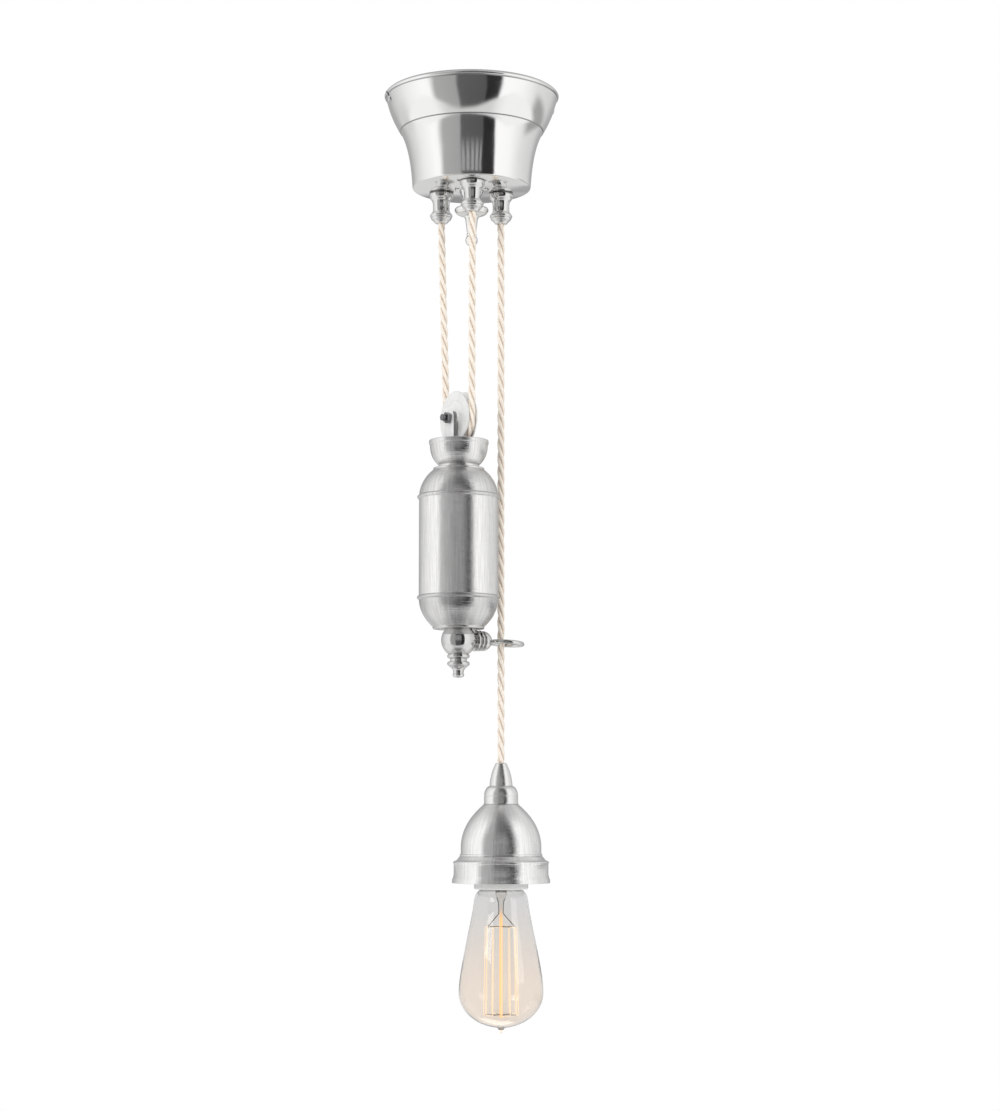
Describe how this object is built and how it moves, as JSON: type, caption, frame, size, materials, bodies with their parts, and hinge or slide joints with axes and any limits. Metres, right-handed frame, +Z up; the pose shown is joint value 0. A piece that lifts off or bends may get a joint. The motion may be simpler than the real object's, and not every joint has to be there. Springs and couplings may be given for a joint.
{
  "type": "rise and fall pendant lamp",
  "caption": "Rise and fall pendant: flared ceiling canopy, cord over a wheel, a counterweight on its own wheel with a guide ring, and a bell-shaped lamp on the cord's end.",
  "frame": {"origin": "centre of the two ceiling screw holes, on the ceiling plane and the canopy's axis", "axes": "+Z up into the ceiling, along the canopy's axis; +X to the right and +Y away from the viewer of the front"},
  "size_m": [0.136, 0.136, 0.7255],
  "materials": {
    "bare_wire": "bare drawn wire",
    "brass": "plain brass",
    "brown_core": "soft insulated cores",
    "cast_slug": "rough cast",
    "clear_glass": "clear, faint tint",
    "cream_cord": "braided textile over twisted cores",
    "dark_steel": "dark blued steel",
    "hot_filament": "lit filament, pale amber",
    "pale_aluminium": "pale satin, tumbled",
    "polished_nickel": "polished nickel plate on brass",
    "satin_nickel": "satin nickel plate",
    "white_plastic": "moulded white",
    "zinc_steel": "zinc-plated steel"
  },
  "bodies": {
    "canopy": {"canopy": "polished_nickel", "ceiling_strap": "zinc_steel", "canopy_screws": "polished_nickel", "centre_rod": "zinc_steel", "rod_nuts": "zinc_steel", "rosette": "polished_nickel", "canopy_finial": "polished_nickel", "gland_fixed": "polished_nickel", "gland_weight": "polished_nickel", "gland_lamp": "polished_nickel", "gland_locknuts": "zinc_steel", "gland_bushes": "white_plastic", "wheel_yoke": "zinc_steel", "canopy_axle": "zinc_steel", "canopy_axle_nut": "zinc_steel", "cord_anchor": "zinc_steel", "anchor_screw": "zinc_steel", "terminal_block": "white_plastic", "terminal_screws": "brass", "earth_screw": "brass", "cord_tail": "cream_cord", "core_wires": "brown_core", "cord_over_canopy_wheel": "cream_cord", "cord_fixed_leg": "cream_cord", "cord_rising_leg": "cream_cord", "cord_lamp_leg": "cream_cord"},
    "top_wheel": {"canopy_wheel": "pale_aluminium"},
    "counterweight": {"weight_fork": "pale_aluminium", "weight_axle": "dark_steel", "weight_axle_nuts": "dark_steel", "weight_cup": "satin_nickel", "top_cap": "satin_nickel", "weight_sleeve": "satin_nickel", "bottom_cap": "satin_nickel", "cast_slug": "cast_slug", "tie_rod": "zinc_steel", "tie_nut": "zinc_steel", "hub_ball": "polished_nickel", "weight_finial": "polished_nickel", "guide_knob": "polished_nickel", "guide_ring": "polished_nickel", "cord_under_weight_wheel": "cream_cord"},
    "lower_wheel": {"weight_wheel": "pale_aluminium"},
    "lamp": {"cord_lamp_end": "cream_cord", "cord_grip": "polished_nickel", "shade_cap": "polished_nickel", "shade": "polished_nickel", "threaded_nipple": "zinc_steel", "nipple_nut": "zinc_steel", "lampholder": "white_plastic", "holder_ring": "white_plastic", "screw_shell": "brass", "centre_contact": "brass", "bulb_glass": "clear_glass", "bulb_cap": "satin_nickel", "bulb_insulator": "white_plastic", "bulb_stem": "clear_glass", "lead_wires": "bare_wire", "filament_hooks": "bare_wire", "filament": "hot_filament"}
  },
  "joints": [
    {"name": "lamp_slide", "type": "slide", "parent": "canopy", "child": "lamp", "axis": [0, 0, 1], "range_m": [-0.2, 0.05], "deforming": ["cord_lamp_leg"]},
    {"name": "weight_slide", "type": "slide", "parent": "canopy", "child": "counterweight", "axis": [0, 0, 1], "range_m": [-0.025, 0.1], "deforming": ["cord_fixed_leg", "cord_rising_leg"]},
    {"name": "top_wheel_spin", "type": "hinge", "parent": "canopy", "child": "top_wheel", "pos_m": [0.01192, -0.00634, -0.04622], "axis": [-0.8829, 0.4695, 0], "range_deg": [-123, 491]},
    {"name": "lower_wheel_spin", "type": "hinge", "parent": "counterweight", "child": "lower_wheel", "pos_m": [-0.0095, -0.00594, -0.2582], "axis": [0.848, 0.5299, 0], "range_deg": [-299, 75]}
  ],
  "couplings": [
    {"joint": "weight_slide", "follows": "lamp_slide", "ratio": -0.5},
    {"joint": "top_wheel_spin", "follows": "lamp_slide", "rad_per_m": -42.767},
    {"joint": "lower_wheel_spin", "follows": "lamp_slide", "rad_per_m": 26.042}
  ]
}
